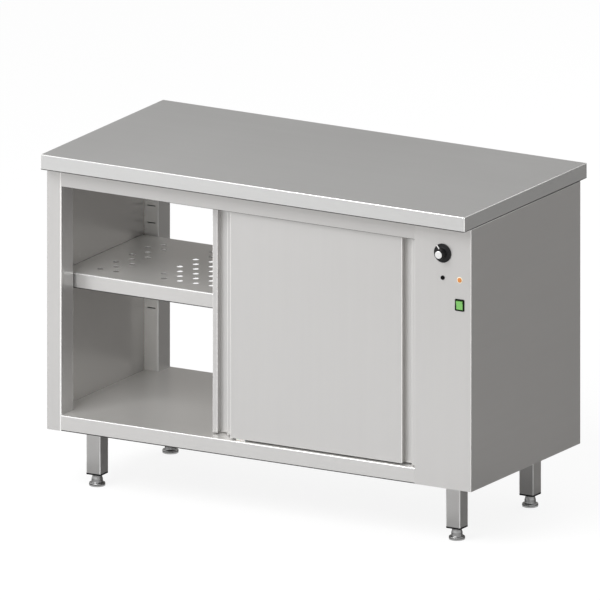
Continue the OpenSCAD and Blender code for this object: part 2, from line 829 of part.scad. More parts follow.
// Sprung push button of the safety limiter
module reset_button() color(black)
    rod_y([knob_x, panel_y - button_out - button_travel, lamp_z], button_r,
          button_out + button_travel + button_in);

module pilot_lamp() color("orange") {
    rod_y([lamp_x, panel_y, lamp_z], lamp_hole_r, lamp_depth);
    rod_y([lamp_x, panel_y - lamp_rim_t, lamp_z], lamp_rim_r, lamp_rim_t);
    rod_y([lamp_x, panel_y - lens_out, lamp_z], lens_r, lens_out - lamp_rim_t / 2);
}

// Frame and case of the power switch, with the bores of the rocker's pivot
module power_switch() color(black) difference() {
    union() {
        block([lamp_x - bezel_w / 2, panel_y - bezel_t, switch_z - bezel_h / 2],
              [lamp_x + bezel_w / 2, panel_y, switch_z + bezel_h / 2]);
        block([lamp_x - switch_w / 2, panel_y - 1, switch_z - switch_h / 2],
              [lamp_x + switch_w / 2, panel_y + switch_depth, switch_z + switch_h / 2]);
    }
    well = [switch_w / 2 - switch_wall, switch_h / 2 - switch_wall];
    block([lamp_x - well[0], panel_y - bezel_t - cut, switch_z - well[1]],
          [lamp_x + well[0], panel_y + well_depth, switch_z + well[1]]);
    rod_x([lamp_x - switch_w / 2 + switch_wall / 2, pivot_y, switch_z], pivot_r + fit,
          switch_w - switch_wall);
}

// Rocker with a shallow valley between its two faces, tipped to one of its positions
module switch_rocker() color("green")
    translate([lamp_x, pivot_y, switch_z]) rotate([rocker_tilt, 0, 0]) {
        half = rocker_h / 2;
        along_x(-rocker_w / 2, rocker_w / 2) polygon([
            [-6.5, half], [-4.8, 0], [-6.5, -half], [0, -half], [4, -3], [4, 3], [0, half]
        ]);
        rod_x([-switch_w / 2 + switch_wall / 2 + air, 0, 0], pivot_r,
              switch_w - switch_wall - 2 * air);
    }

// Heating unit ---------------------------------------------------------------------------

// Open ring of heating tube round the impeller, with a terminal sleeve at each end
module heater_element() color("dimgray") translate([heater_x, 0, fan_z]) {
    gap_angle = 2 * asin(heater_gap / 2 / heater_r);
    rotate([0, 90, 0]) rotate([0, 0, gap_angle / 2]) rotate_extrude(angle = 360 - gap_angle)
        translate([heater_r, 0]) circle(heater_tube_r);
    for (side = [-1, 1])
        rod_x([-heater_end_r, side * heater_gap / 2, heater_end_z], heater_end_r,
              casing_back - heater_x + heater_end_r + terminal_l);
}

// Pan-shaped fan casing on the partition, with the motor on its back
module fan_motor() color("gray") {
    half = casing_side / 2;
    difference() {
        union() {
            block([casing_x, -half, fan_z - half], [casing_back, half, fan_z + half]);
            rod_x([casing_back - cut, 0, fan_z], motor_r, motor_l + cut);
        }
        block([casing_x - cut, -half + sheet, fan_z - half + sheet],
              [casing_back - sheet, half - sheet, fan_z + half - sheet]);
        rod_x([casing_back - 2, 0, fan_z], fan_shaft_r + fit, motor_l - 4);
        for (side = [-1, 1])
            rod_x([casing_back - sheet - cut, side * heater_gap / 2, fan_z + heater_end_z],
                  heater_end_r + fit, sheet + 2 * cut);
    }
}

// Impeller and the motor shaft that it is pressed on
module fan_impeller() color("silver") {
    rod_x([fan_x0, 0, fan_z], 3 * fan_shaft_r, fan_x1 - fan_x0);
    rod_x([fan_x1 - fan_disc, 0, fan_z], fan_r, fan_disc);
    rod_x([fan_x0, 0, fan_z], fan_shaft_r, casing_back + motor_l / 2 - fan_x0);
    for (i = [0 : fan_blades - 1]) translate([fan_x0, 0, fan_z])
        rotate([i * 360 / fan_blades, 0, 0])
            block([0, -sheet / 2, blade_r], [fan_x1 - fan_x0 - fan_disc / 2, sheet / 2, fan_r - 1]);
}

// Cable gland in the service cover, with no cable in it
module cable_gland() color(black) difference() {
    union() {
        rod_y([gland_x, y_body - gland_in, gland_z], cable_r + gland_wall, gland_in + 1);
        rod_y([gland_x, y_body, gland_z], cable_r + gland_wall + 3, gland_collar);
        rod_y([gland_x, y_body + 1, gland_z], cable_r + gland_wall + 1, gland_out - 1);
        rod_y([gland_x, y_body - sheet - gland_in / 2, gland_z], cable_r + gland_wall + 2, gland_in / 2);
    }
    rod_y([gland_x, y_body - gland_in - cut, gland_z], cable_r, gland_in + gland_out + 2 * cut);
}

worktop_skin();
worktop_board();
worktop_channels();
left_side_panel();
right_side_panel();
left_posts();
right_posts();
control_panel();
service_cover();
cover_screws();
partition_wall();
top_rails();
chamber_ceiling();
front_door_track();
rear_door_track();
cabinet_floor();
door_guides();
shelf();
shelf_brackets();
front_outer_door();
front_outer_back();
front_outer_hangers();
front_outer_roller_l();
front_outer_roller_r();
front_inner_door();
front_inner_back();
front_inner_hangers();
front_inner_roller_l();
front_inner_roller_r();
rear_outer_door();
rear_outer_back();
rear_outer_hangers();
rear_outer_roller_l();
rear_outer_roller_r();
rear_inner_door();
rear_inner_back();
rear_inner_hangers();
rear_inner_roller_l();
rear_inner_roller_r();
leg_frames();
leg_inserts();
foot_stem_fl();
foot_stem_fr();
foot_stem_rl();
foot_stem_rr();
foot_pad_fl();
foot_pad_fr();
foot_pad_rl();
foot_pad_rr();
thermostats();
thermostat_knob();
knob_cap();
reset_button();
pilot_lamp();
power_switch();
switch_rocker();
heater_element();
fan_motor();
fan_impeller();
cable_gland();
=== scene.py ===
# Heated plate cabinet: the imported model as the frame, dressed with folded sheet edges, turned
# feet, moulded controls and brushed steel. Metres, +Z up, front towards -Y.
import bpy
import bmesh
from math import atan2, cos, pi, radians, sin
from mathutils import Matrix, Vector


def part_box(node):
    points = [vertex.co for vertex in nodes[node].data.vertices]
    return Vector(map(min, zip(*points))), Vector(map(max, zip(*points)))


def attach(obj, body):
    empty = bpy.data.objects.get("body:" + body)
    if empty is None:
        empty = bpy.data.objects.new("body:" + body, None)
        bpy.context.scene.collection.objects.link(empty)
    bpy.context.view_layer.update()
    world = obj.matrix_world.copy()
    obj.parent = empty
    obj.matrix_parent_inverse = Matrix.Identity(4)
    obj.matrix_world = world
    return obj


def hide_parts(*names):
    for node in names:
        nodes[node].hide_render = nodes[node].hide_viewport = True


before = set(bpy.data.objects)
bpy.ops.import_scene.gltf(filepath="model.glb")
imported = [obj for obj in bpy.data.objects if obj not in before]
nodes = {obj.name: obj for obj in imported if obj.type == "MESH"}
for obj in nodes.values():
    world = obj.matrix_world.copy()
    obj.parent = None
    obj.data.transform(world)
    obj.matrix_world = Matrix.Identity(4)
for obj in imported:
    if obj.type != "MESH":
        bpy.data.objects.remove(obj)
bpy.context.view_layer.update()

# Camera ------------------------------------------------------------------------------------
# A parallel view from 30 degrees to the right of the front and 15 degrees above the floor, so
# that upright edges stay upright and the lines along the depth stay parallel.
azimuth, elevation = radians(30), radians(15)
view_back = Vector((sin(azimuth) * cos(elevation), -cos(azimuth) * cos(elevation), sin(elevation)))
view_right = Vector((cos(azimuth), sin(azimuth), 0))
view_up = view_back.cross(view_right)
picture_width = 1.4705
centre_right, centre_up, camera_distance, farthest = -0.0336, 0.4795, 5, 60
camera_data = bpy.data.cameras.new("camera")
camera_data.type = "ORTHO"
camera_data.ortho_scale = picture_width
camera_data.clip_end = farthest
camera = bpy.data.objects.new("camera", camera_data)
turn = Matrix((view_right, view_up, view_back)).transposed().to_4x4()
place = view_right * centre_right + view_up * centre_up + view_back * camera_distance
camera.matrix_world = Matrix.Translation(place) @ turn
bpy.context.scene.collection.objects.link(camera)
bpy.context.scene.camera = camera
bpy.context.scene.view_settings.view_transform = "Standard"

# Studio ------------------------------------------------------------------------------------
# A pale floor without an edge in view, one large soft lamp in front at the left, a weaker one
# behind, and grey cards that only reflections see, so that the sheet metal isn't all white.


def new_material(name):
    """A material with nothing in its node tree, and that tree's nodes and links."""
    material = bpy.data.materials.new(name)
    material.use_nodes = True
    material.node_tree.nodes.clear()
    return material, material.node_tree.nodes, material.node_tree.links


def seen_directly(tree, rays):
    """1 for rays of these kinds and 0 for all others."""
    path = tree.nodes.new("ShaderNodeLightPath")
    total = None
    for ray in rays:
        if total is None:
            total = path.outputs[ray]
            continue
        larger = tree.nodes.new("ShaderNodeMath")
        larger.operation = "MAXIMUM"
        tree.links.new(total, larger.inputs[0])
        tree.links.new(path.outputs[ray], larger.inputs[1])
        total = larger.outputs[0]
    return total


# The background is white to what looks at it, and softer as a light
background_rays = ("Is Camera Ray", "Is Glossy Ray", "Is Transmission Ray")
fill_level, white_level = 0.50, 1
world = bpy.data.worlds.new("studio")
world.use_nodes = True
bpy.context.scene.world = world
tree = world.node_tree
tree.nodes.clear()
soft_light = tree.nodes.new("ShaderNodeBackground")
soft_light.inputs["Strength"].default_value = fill_level
white = tree.nodes.new("ShaderNodeBackground")
white.inputs["Strength"].default_value = white_level
for light in (soft_light, white):
    light.inputs["Color"].default_value = (1, 1, 1, 1)
mix = tree.nodes.new("ShaderNodeMixShader")
tree.links.new(seen_directly(tree, background_rays), mix.inputs[0])
tree.links.new(soft_light.outputs[0], mix.inputs[1])
tree.links.new(white.outputs[0], mix.inputs[2])
tree.links.new(mix.outputs[0], tree.nodes.new("ShaderNodeOutputWorld").inputs["Surface"])


def flat_piece(name, corners):
    """One flat face through these corners."""
    mesh = bpy.data.meshes.new(name)
    bm = bmesh.new()
    bm.faces.new([bm.verts.new(corner) for corner in corners])
    bm.to_mesh(mesh)
    bm.free()
    piece = bpy.data.objects.new(name, mesh)
    bpy.context.scene.collection.objects.link(piece)
    return piece


# The floor glows just enough to look white, keeps a shadow, and bounces light upward
floor_half, floor_glow, floor_paint, floor_bounce = 30, 0.88, 0.15, 0.75
floor = flat_piece("studio_floor", [(-floor_half, -floor_half, 0), (floor_half, -floor_half, 0),
                                    (floor_half, floor_half, 0), (-floor_half, floor_half, 0)])
material, shaders, links = new_material("pale_floor")
glow = shaders.new("ShaderNodeEmission")
glow.inputs["Strength"].default_value = floor_glow
paint = shaders.new("ShaderNodeBsdfDiffuse")
paint.inputs["Color"].default_value = [floor_paint] * 3 + [1]
both = shaders.new("ShaderNodeAddShader")
links.new(glow.outputs[0], both.inputs[0])
links.new(paint.outputs[0], both.inputs[1])
bounce = shaders.new("ShaderNodeBsdfDiffuse")
bounce.inputs["Color"].default_value = [floor_bounce] * 3 + [1]
mix = shaders.new("ShaderNodeMixShader")
links.new(seen_directly(material.node_tree, background_rays), mix.inputs[0])
links.new(bounce.outputs[0], mix.inputs[1])
links.new(both.outputs[0], mix.inputs[2])
links.new(mix.outputs[0], shaders.new("ShaderNodeOutputMaterial").inputs["Surface"])
floor.data.materials.append(material)


def reflection_card(name, corners, level):
    """A warm grey card that only glossy reflections see."""
    card = flat_piece(name, corners)
    material, shaders, links = new_material(name)
    glow = shaders.new("ShaderNodeEmission")
    glow.inputs["Color"].default_value = (1, 0.96, 0.92, 1)
    glow.inputs["Strength"].default_value = level
    links.new(glow.outputs[0], shaders.new("ShaderNodeOutputMaterial").inputs["Surface"])
    card.data.materials.append(material)
    card.visible_camera = False
    card.visible_diffuse = False
    card.visible_shadow = False
    card.visible_transmission = False


def floor_card(name, low, high, height, level):
    """A reflection card that lies just over the floor."""
    reflection_card(name, [(low[0], low[1], height), (high[0], low[1], height),
                           (high[0], high[1], height), (low[0], high[1], height)], level)


def rear_card(name, left, y, low, high, level):
    """A reflection card that stands behind the cabinet."""
    right = 8
    reflection_card(name, [(left, y, low), (right, y, low), (right, y, high), (left, y, high)],
                    level)


# Dark cards where the right side, the inside and the legs look, and bright ones on the floor
# where the rounded folds look
dark, side_dark, under_dark, front_grey, bright = 0.22, 0.11, 0.08, 0.66, 1.7
floor_card("rear_floor_card", (-4, 0.30), (6, 5), height=0.004, level=dark)
rear_card("rear_card_right", left=1.3, y=3.95, low=0.01, high=2, level=0.3)
floor_card("side_floor_card", (0.62, -0.42), (6, 0.30), height=0.004, level=side_dark)
floor_card("under_card", (-0.75, -0.42), (0.62, 0.30), height=0.004, level=under_dark)
floor_card("front_floor_card", (-1.15, -4.2), (1.2, -2.2), height=0.005, level=front_grey)
floor_card("right_bright_card", (0.75, -3.2), (5, -0.62), height=0.003, level=bright)
floor_card("left_bright_card", (-6, -1.6), (-1.5, 0.6), height=0.006, level=bright)
rear_card("rear_card_low", left=-8, y=4, low=0.01, high=1.9, level=0.32)
rear_card("rear_card_high", left=-8, y=4, low=1.9, high=5, level=0.235)


def area_lamp(name, place, target, size, power):
    """A square soft lamp that faces its target."""
    data = bpy.data.lights.new(name, "AREA")
    data.shape = "SQUARE"
    data.size = size
    data.energy = power
    lamp = bpy.data.objects.new(name, data)
    lamp.location = place
    lamp.rotation_euler = (Vector(target) - Vector(place)).to_track_quat("-Z", "Y").to_euler()
    bpy.context.scene.collection.objects.link(lamp)


area_lamp("key_lamp", place=(-1.0, -3.6, 4.2), target=(0, 0, 0.5), size=3.0, power=230)
area_lamp("rear_lamp", place=(0.8, 4.2, 2.4), target=(0, 0, 0.4), size=3.0, power=35)

# Sheet metal -------------------------------------------------------------------------------
# Stainless steel sheet, ground to a satin finish. The grain runs along the length of each
# sheet, with broad faint streaks and fine scratches in it.


def brushed_steel(name, colour, roughness, grain, metallic=0.6, bump=0.003, tone=0.012,
                  scatter=0.02):
    """Satin steel; grain is the direction (x, y or z) that its scratches follow."""
    middle_low, middle_high, fine_share, broad_share, scratch_depth = 0.3, 0.7, 0.6, 0.4, 0.0002
    material, shaders, links = new_material(name)
    place = shaders.new("ShaderNodeTexCoord")
    surface = shaders.new("ShaderNodeBsdfPrincipled")
    surface.inputs["Metallic"].default_value = metallic

    def streaks(along, across, detail):
        """Noise drawn out along the grain."""
        stretch = shaders.new("ShaderNodeMapping")
        stretch.inputs["Scale"].default_value = [along if axis == grain else across
                                                 for axis in "xyz"]
        links.new(place.outputs["Object"], stretch.inputs["Vector"])
        noise = shaders.new("ShaderNodeTexNoise")
        noise.inputs["Scale"].default_value = 1
        noise.inputs["Detail"].default_value = detail
        links.new(stretch.outputs[0], noise.inputs["Vector"])
        return noise.outputs["Fac"]

    def spread(value, low, high):
        """The noise's middle range as a value between low and high."""
        ramp = shaders.new("ShaderNodeMapRange")
        ramp.inputs["From Min"].default_value = middle_low
        ramp.inputs["From Max"].default_value = middle_high
        ramp.inputs["To Min"].default_value = low
        ramp.inputs["To Max"].default_value = high
        links.new(value, ramp.inputs["Value"])
        return ramp.outputs["Result"]

    fine = streaks(along=6, across=900, detail=3)
    broad = streaks(along=1.5, across=60, detail=2)
    cloud = streaks(along=2.2, across=2.2, detail=3)
    tint = shaders.new("ShaderNodeMix")
    tint.data_type = "RGBA"
    tint.inputs["A"].default_value = [c * (1 - tone) for c in colour] + [1]
    tint.inputs["B"].default_value = [min(c * (1 + tone), 1) for c in colour] + [1]
    share = shaders.new("ShaderNodeMath")
    share.operation = "MULTIPLY_ADD"
    share.inputs[1].default_value = fine_share
    links.new(spread(fine, 0, 1), share.inputs[0])
    links.new(spread(broad, 0, broad_share), share.inputs[2])
    links.new(share.outputs[0], tint.inputs["Factor"])
    links.new(tint.outputs["Result"], surface.inputs["Base Color"])
    rough = shaders.new("ShaderNodeMath")
    rough.operation = "ADD"
    links.new(spread(fine, roughness - scatter, roughness + scatter), rough.inputs[0])
    links.new(spread(cloud, -scatter, scatter), rough.inputs[1])
    links.new(rough.outputs[0], surface.inputs["Roughness"])
    relief = shaders.new("ShaderNodeBump")
    relief.inputs["Strength"].default_value = bump
    relief.inputs["Distance"].default_value = scratch_depth
    links.new(fine, relief.inputs["Height"])
    links.new(relief.outputs[0], surface.inputs["Normal"])
    links.new(surface.outputs[0], shaders.new("ShaderNodeOutputMaterial").inputs["Surface"])
    return material


# The same sheet with its grain along each direction, and its folds: smoother, with a pale copy of
# the steel as a painted highlight where they face the light, and a dark copy as painted shade
# where they face the floor
satin = (0.573, 0.566, 0.558)
steel_along = brushed_steel("satin_steel_grain_x", satin, 0.33, "x")
steel_deep = brushed_steel("satin_steel_grain_y", satin, 0.33, "y")
steel_upright = brushed_steel("satin_steel_grain_z", (0.55, 0.543, 0.536), 0.33, "z")
fold_painted_highlight = brushed_steel("fold_painted_highlight", (0.93, 0.93, 0.92), 0.25, "z", metallic=0.5)
fold_painted_shade = brushed_steel("fold_painted_shade", (0.10, 0.10, 0.10), 0.35, "x", metallic=1.0)


def finished(bm, name, body, slot, material, *replaced):
    """The mesh as a piece at the origin that rides on its body."""
    mesh = bpy.data.meshes.new(name)
    bm.to_mesh(mesh)
    bm.free()
    piece = bpy.data.objects.new(name, mesh)
    bpy.context.scene.collection.objects.link(piece)
    mesh.materials.append(material)
    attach(piece, body)
    if replaced:
        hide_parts(*replaced)
    return piece


def width_of(face):
    """About how wide a long face is, which for a sheet's own edge is its thickness."""
    return 2 * face.calc_area() / face.calc_perimeter()


same_point = 1e-6


def merged_copy(node):
    """A CAD node's mesh with its triangles joined into whole faces."""
    same_plane = radians(0.5)
    bm = bmesh.new()
    bm.from_mesh(nodes[node].data)
    bmesh.ops.remove_doubles(bm, verts=bm.verts, dist=same_point)
    bmesh.ops.dissolve_limit(bm, angle_limit=same_plane, verts=bm.verts, edges=bm.edges)
    bm.normal_update()
    return bm


def paint_fold_light(faces):
    """The rounded faces are smooth, with a painted highlight, and painted shade where they face
    the floor.
    """
    painted_highlight_index, painted_shade_index, downward = 1, 2, -0.15
    for face in faces:
        face.smooth = True
        face.material_index = painted_shade_index if face.normal.z < downward else painted_highlight_index


def folded_sheet(name, node, body, radius, directions, material, slot="satin_steel", wide=0.004,
                 under=None, toward=None):
    """A CAD sheet with its folds rounded: edges along these directions between wide faces.

    Edges that face down may have a radius of their own, and edges that don't face toward a side
    can be left sharp."""
    level, facing, along_axis, least_turn = 0.9999, 0.9, 0.999, radians(60)
    bm = merged_copy(node)
    for face in bm.faces:
        face.smooth = False
        if max(abs(part) for part in face.normal) < level:
            paint_fold_light([face])

    def folds(down):
        """The edges to round; with a radius for those that face down, one kind at a time."""
        chosen = []
        for edge in bm.edges:
            sides = edge.link_faces
            if len(sides) != 2 or not edge.is_convex or edge.calc_face_angle() < least_turn:
                continue
            if toward and max(face.normal.dot(Vector(toward)) for face in sides) < facing:
                continue
            along = (edge.verts[1].co - edge.verts[0].co).normalized()
            if not any(abs(along["xyz".index(d)]) > along_axis for d in directions):
                continue
            if under and down != (min(face.normal.z for face in sides) < -facing):
                continue
            if min(width_of(face) for face in sides) > wide:
                chosen.append(edge)
        return chosen

    for offset, down in ((under, True), (radius, False)):
        edges = folds(down) if offset else []
        if edges:
            bent = bmesh.ops.bevel(bm, geom=edges, offset=offset, segments=4, profile=0.5,
                                   affect="EDGES", clamp_overlap=True, material=-1)
            bm.normal_update()
            paint_fold_light(bent["faces"])
    piece = finished(bm, name, body, slot, material, node)
    # The folds' pale and dark copies of the steel: painted highlight and painted shade
    for finish in (fold_painted_highlight, fold_painted_shade):
        piece.data.materials.append(finish)
    return piece


def paint_light_on_faces(piece, material, wanted):
    """Gives some faces of a piece a lighter or darker copy of the steel, which paints light and
    shade on them.
    """
    piece.data.materials.append(material)
    for face in piece.data.polygons:
        if wanted(face):
            face.material_index = len(piece.data.materials) - 1


# Worktop -----------------------------------------------------------------------------------
# One sheet folded down on all sides, its corners welded and ground, with a board and steel
# channels under it. The grain runs along the length.
worktop_steel = brushed_steel("worktop_steel", (0.575, 0.576, 0.572), 0.36, "x", bump=0.006,
                              tone=0.02)
top_fold, turned_under, narrow = 0.0016, 0.003, 0.007
folded_sheet("worktop_sheet", "worktop_skin", "cabinet", top_fold, "xyz", worktop_steel,
             "worktop_steel", wide=narrow, under=turned_under)

# The board is pressed from wood chips in two browns
chip_scale = 260
chipboard, shaders, links = new_material("chipboard")
surface = shaders.new("ShaderNodeBsdfPrincipled")
surface.inputs["Roughness"].default_value = 0.8
place = shaders.new("ShaderNodeTexCoord")
chips = shaders.new("ShaderNodeTexVoronoi")
chips.inputs["Scale"].default_value = chip_scale
links.new(place.outputs["Object"], chips.inputs["Vector"])
shade = shaders.new("ShaderNodeValToRGB")
shade.color_ramp.elements[0].color = (0.42, 0.29, 0.17, 1)
shade.color_ramp.elements[1].color = (0.68, 0.53, 0.36, 1)
links.new(chips.outputs["Color"], shade.inputs["Fac"])
links.new(shade.outputs[0], surface.inputs["Base Color"])
links.new(surface.outputs[0], shaders.new("ShaderNodeOutputMaterial").inputs["Surface"])


def dress(node, material):
    """A CAD node that keeps its shape and gets its finish."""
    slots = nodes[node].data.materials
    if not slots:
        slots.append(material)
    for index in range(len(slots)):
        slots[index] = material


bright_steel = brushed_steel("bright_steel", (0.55, 0.56, 0.57), 0.30, "x")
dress("worktop_board", chipboard)
dress("worktop_channels", bright_steel)

# Carcass -----------------------------------------------------------------------------------
# Posts, rails, floor and panels of 1 mm sheet. Each is folded on a press, which leaves a
# radius of about 2 mm along the fold, and they are spot-welded together.
fold, post_fold, low_fold, rail_foot = 0.0022, 0.0033, 0.003, 0.0012
cut_edge, cover_edge, thin = 0.0007, 0.00095, 0.0008
straight, slightly = 0.9, 0.1
# The top rails get a darker copy of the steel: painted shade from the worktop's overhang
rail_painted_shade = brushed_steel("rail_painted_shade", (0.52, 0.513, 0.506), 0.33, "x")
# Pale copies of the steel: painted light on the rear post's slotted strip and a painted highlight
# on its fold
strip_painted_light = brushed_steel("slotted_strip_painted_light", (0.90, 0.89, 0.87), 0.33, "z", metallic=0.3)
rear_fold_painted_highlight = brushed_steel("rear_fold_painted_highlight", (0.97, 0.96, 0.95), 0.25, "x", metallic=0.0)
inner_steel = brushed_steel("inner_steel", (0.53, 0.52, 0.505), 0.26, "z", bump=0.001, tone=0.005,
                            scatter=0.01)
# A paler copy of the steel for the tops of the cabinet's floor and the shelf: painted light
# falling in from the front
inner_painted_light = brushed_steel("inner_painted_light_grain_x", (0.74, 0.73, 0.71), 0.31, "x", bump=0.001,
                            tone=0.006, scatter=0.01)
# The rear post's slotted strip and its fold get pale copies of the steel: painted light on the
# strip and a painted highlight on the fold
left_posts = folded_sheet("left_post_sheets", "left_posts", "cabinet", post_fold, "z",
                          steel_upright)
paint_light_on_faces(left_posts, strip_painted_light, lambda face: face.normal.y < -straight and face.center.y > 0)
paint_light_on_faces(left_posts, rear_fold_painted_highlight,
         lambda face: face.material_index == 1 and face.center.y > 0
         and face.normal.y < -slightly)
folded_sheet("right_post_sheets", "right_posts", "cabinet", fold, "z", steel_upright)
# The top rails carry painted shade
folded_sheet("top_rail_sheets", "top_rails", "cabinet", fold, "x", rail_painted_shade, under=rail_foot)
floor_sheet = folded_sheet("floor_sheet", "cabinet_floor", "cabinet", fold, "x", steel_along,
                           under=low_fold)
# The floor's top gets painted light
paint_light_on_faces(floor_sheet, inner_painted_light, lambda face: face.normal.z > straight)
folded_sheet("control_panel_sheet", "control_panel", "cabinet", cut_edge, "z", steel_upright,
             wide=thin, toward=(0, -1, 0))
folded_sheet("side_panel_sheet", "right_side_panel", "cabinet", cut_edge, "zy", steel_deep)
folded_sheet("service_cover_sheet", "service_cover", "cabinet", cover_edge, "z", steel_upright,
             wide=thin, toward=(0, 1, 0))
dress("left_side_panel", inner_steel)
dress("partition_wall", steel_deep)
dress("chamber_ceiling", steel_along)
dress("front_door_track", bright_steel)
dress("rear_door_track", bright_steel)

# Shelf -------------------------------------------------------------------------------------
# One sheet with staggered round air holes and folded lips. It lies loose on brackets that hang
# in the slotted strips.
lip_fold = 0.003
shelf_sheet = folded_sheet("shelf_sheet", "shelf", "cabinet", lip_fold, "x", steel_along)
# The shelf's top gets painted light
paint_light_on_faces(shelf_sheet, inner_painted_light, lambda face: face.normal.z > straight)
dress("shelf_brackets", bright_steel)

# Doors -------------------------------------------------------------------------------------
# Hollow doors folded from one sheet, with a finger groove beside the free edge and a flat
# sheet welded over the back. Each hangs on two nylon rollers.
# The walls of the finger grooves lie in shade
groove_steels = {"outer": brushed_steel("outer_groove_steel", (0.44, 0.435, 0.425), 0.30, "z"),
                 "inner": brushed_steel("inner_groove_steel", (0.54, 0.535, 0.525), 0.30, "z")}
plated_steel = brushed_steel("plated_steel", (0.66, 0.66, 0.68), 0.34, "x")
door_fold, edge_zone = 0.0014, 0.005
for side in ("front", "rear"):
    for which in ("outer", "inner"):
        door = side + "_" + which
        body = door + "_sliding_door"
        sheet = folded_sheet(door + "_door_sheet", door + "_door", body, door_fold, "z",
                             steel_upright)
        across = sorted(vertex.co.x for vertex in sheet.data.vertices)
        left, right = across[0] + edge_zone, across[-1] - edge_zone
        paint_light_on_faces(sheet, groove_steels[which],
                 lambda face: abs(face.normal.x) > straight and left < face.center.x < right)
        dress(door + "_back", steel_upright)
        dress(door + "_hangers", plated_steel)

# Nylon is a little translucent and faintly mottled
mottle_scale = 120
white_nylon, shaders, links = new_material("white_nylon")
surface = shaders.new("ShaderNodeBsdfPrincipled")
surface.inputs["Subsurface Weight"].default_value = 0.1
surface.inputs["Subsurface Scale"].default_value = 0.002
place = shaders.new("ShaderNodeTexCoord")
mottle = shaders.new("ShaderNodeTexNoise")
mottle.inputs["Scale"].default_value = mottle_scale
links.new(place.outputs["Object"], mottle.inputs["Vector"])
shade = shaders.new("ShaderNodeValToRGB")
shade.color_ramp.elements[0].color = (0.80, 0.79, 0.75, 1)
shade.color_ramp.elements[1].color = (0.90, 0.89, 0.86, 1)
links.new(mottle.outputs["Fac"], shade.inputs["Fac"])
links.new(shade.outputs[0], surface.inputs["Base Color"])
dull = shaders.new("ShaderNodeMapRange")
dull.inputs["To Min"].default_value = 0.35
dull.inputs["To Max"].default_value = 0.5
links.new(mottle.outputs["Fac"], dull.inputs["Value"])
links.new(dull.outputs[0], surface.inputs["Roughness"])
links.new(surface.outputs[0], shaders.new("ShaderNodeOutputMaterial").inputs["Surface"])


soft_angle = radians(35)


def smooth_below(bm, angle=soft_angle):
    """Smooth faces, with hard edges only where two faces meet at more than this angle."""
    for face in bm.faces:
        face.smooth = True
    for edge in bm.edges:
        edge.smooth = len(edge.link_faces) == 2 and abs(edge.calc_face_angle()) < angle


def softened(name, node, body, slot, material, radius):
    """A CAD piece with its sharp outer edges rounded."""
    bm = merged_copy(node)
    least_turn, least_width = radians(40), 2.2 * radius
    sharp = [edge for edge in bm.edges
             if len(edge.link_faces) == 2 and edge.is_convex
             and edge.calc_face_angle() > least_turn
             and min(width_of(face) for face in edge.link_faces) > least_width]
    bmesh.ops.bevel(bm, geom=sharp, offset=radius, segments=3, profile=0.5, affect="EDGES",
                    clamp_overlap=True, material=-1)
    smooth_below(bm)
    return finished(bm, name, body, slot, material, node)


softened("door_guide_blocks", "door_guides", "cabinet", "white_nylon", white_nylon,
         radius=0.0006)
for node in nodes:
    if "_roller_" in node:
        dress(node, white_nylon)

# Legs and feet -----------------------------------------------------------------------------
# Square tubes welded into channels under the floor, closed at the foot by black plastic plugs.
# Each foot is a polished pad on a turned neck with a threaded stem.
# The tubes' corners are round in the CAD already, and only get a paler copy of the steel as a
# painted highlight
corner_painted_highlight = brushed_steel("tube_corner_painted_highlight", (0.90, 0.90, 0.89), 0.30, "z", metallic=0.3)
tubes = folded_sheet("leg_tubes", "leg_frames", "cabinet", fold, "", steel_upright)
tubes.data.materials[1] = corner_painted_highlight


def moulded_plastic(name, colour, roughness, gloss=0.5):
    """Moulded plastic with a fine texture in its gloss and its surface."""
    grain, tone, scatter, relief_strength, relief_depth = 900, 0.15, 0.08, 0.08, 0.0002
    material, shaders, links = new_material(name)
    surface = shaders.new("ShaderNodeBsdfPrincipled")
    surface.inputs["Specular IOR Level"].default_value = gloss
    place = shaders.new("ShaderNodeTexCoord")
    noise = shaders.new("ShaderNodeTexNoise")
    noise.inputs["Scale"].default_value = grain
    links.new(place.outputs["Object"], noise.inputs["Vector"])
    shade = shaders.new("ShaderNodeValToRGB")
    shade.color_ramp.elements[0].color = [c * (1 - tone) for c in colour] + [1]
    shade.color_ramp.elements[1].color = [min(c * (1 + tone), 1) for c in colour] + [1]
    links.new(noise.outputs["Fac"], shade.inputs["Fac"])
    links.new(shade.outputs[0], surface.inputs["Base Color"])
    dull = shaders.new("ShaderNodeMapRange")
    dull.inputs["To Min"].default_value = roughness - scatter
    dull.inputs["To Max"].default_value = roughness + scatter
    links.new(noise.outputs["Fac"], dull.inputs["Value"])
    links.new(dull.outputs[0], surface.inputs["Roughness"])
    relief = shaders.new("ShaderNodeBump")
    relief.inputs["Strength"].default_value = relief_strength
    relief.inputs["Distance"].default_value = relief_depth
    links.new(noise.outputs["Fac"], relief.inputs["Height"])
    links.new(relief.outputs[0], surface.inputs["Normal"])
    links.new(surface.outputs[0], shaders.new("ShaderNodeOutputMaterial").inputs["Surface"])
    return material


round_steps = 48


def turned(outline, steps=round_steps):
    """A shape turned about the Z axis from its outline in mm: from pole to pole, or closed."""
    turned_angle = radians(38)
    bm = bmesh.new()
    points = [bm.verts.new((r / 1000, 0, z / 1000)) for r, z in outline]
    edges = [bm.edges.new(pair) for pair in zip(points, points[1:])]
    bmesh.ops.spin(bm, geom=points + edges, cent=(0, 0, 0), axis=(0, 0, 1), angle=2 * pi,
                   steps=steps, use_merge=True)
    bmesh.ops.remove_doubles(bm, verts=bm.verts, dist=same_point)
    bmesh.ops.recalc_face_normals(bm, faces=bm.faces)
    smooth_below(bm, turned_angle)
    return bm


def placed(bm, matrix):
    """The same shape, moved and turned by this matrix."""
    bmesh.ops.transform(bm, matrix=matrix, verts=bm.verts)
    return bm


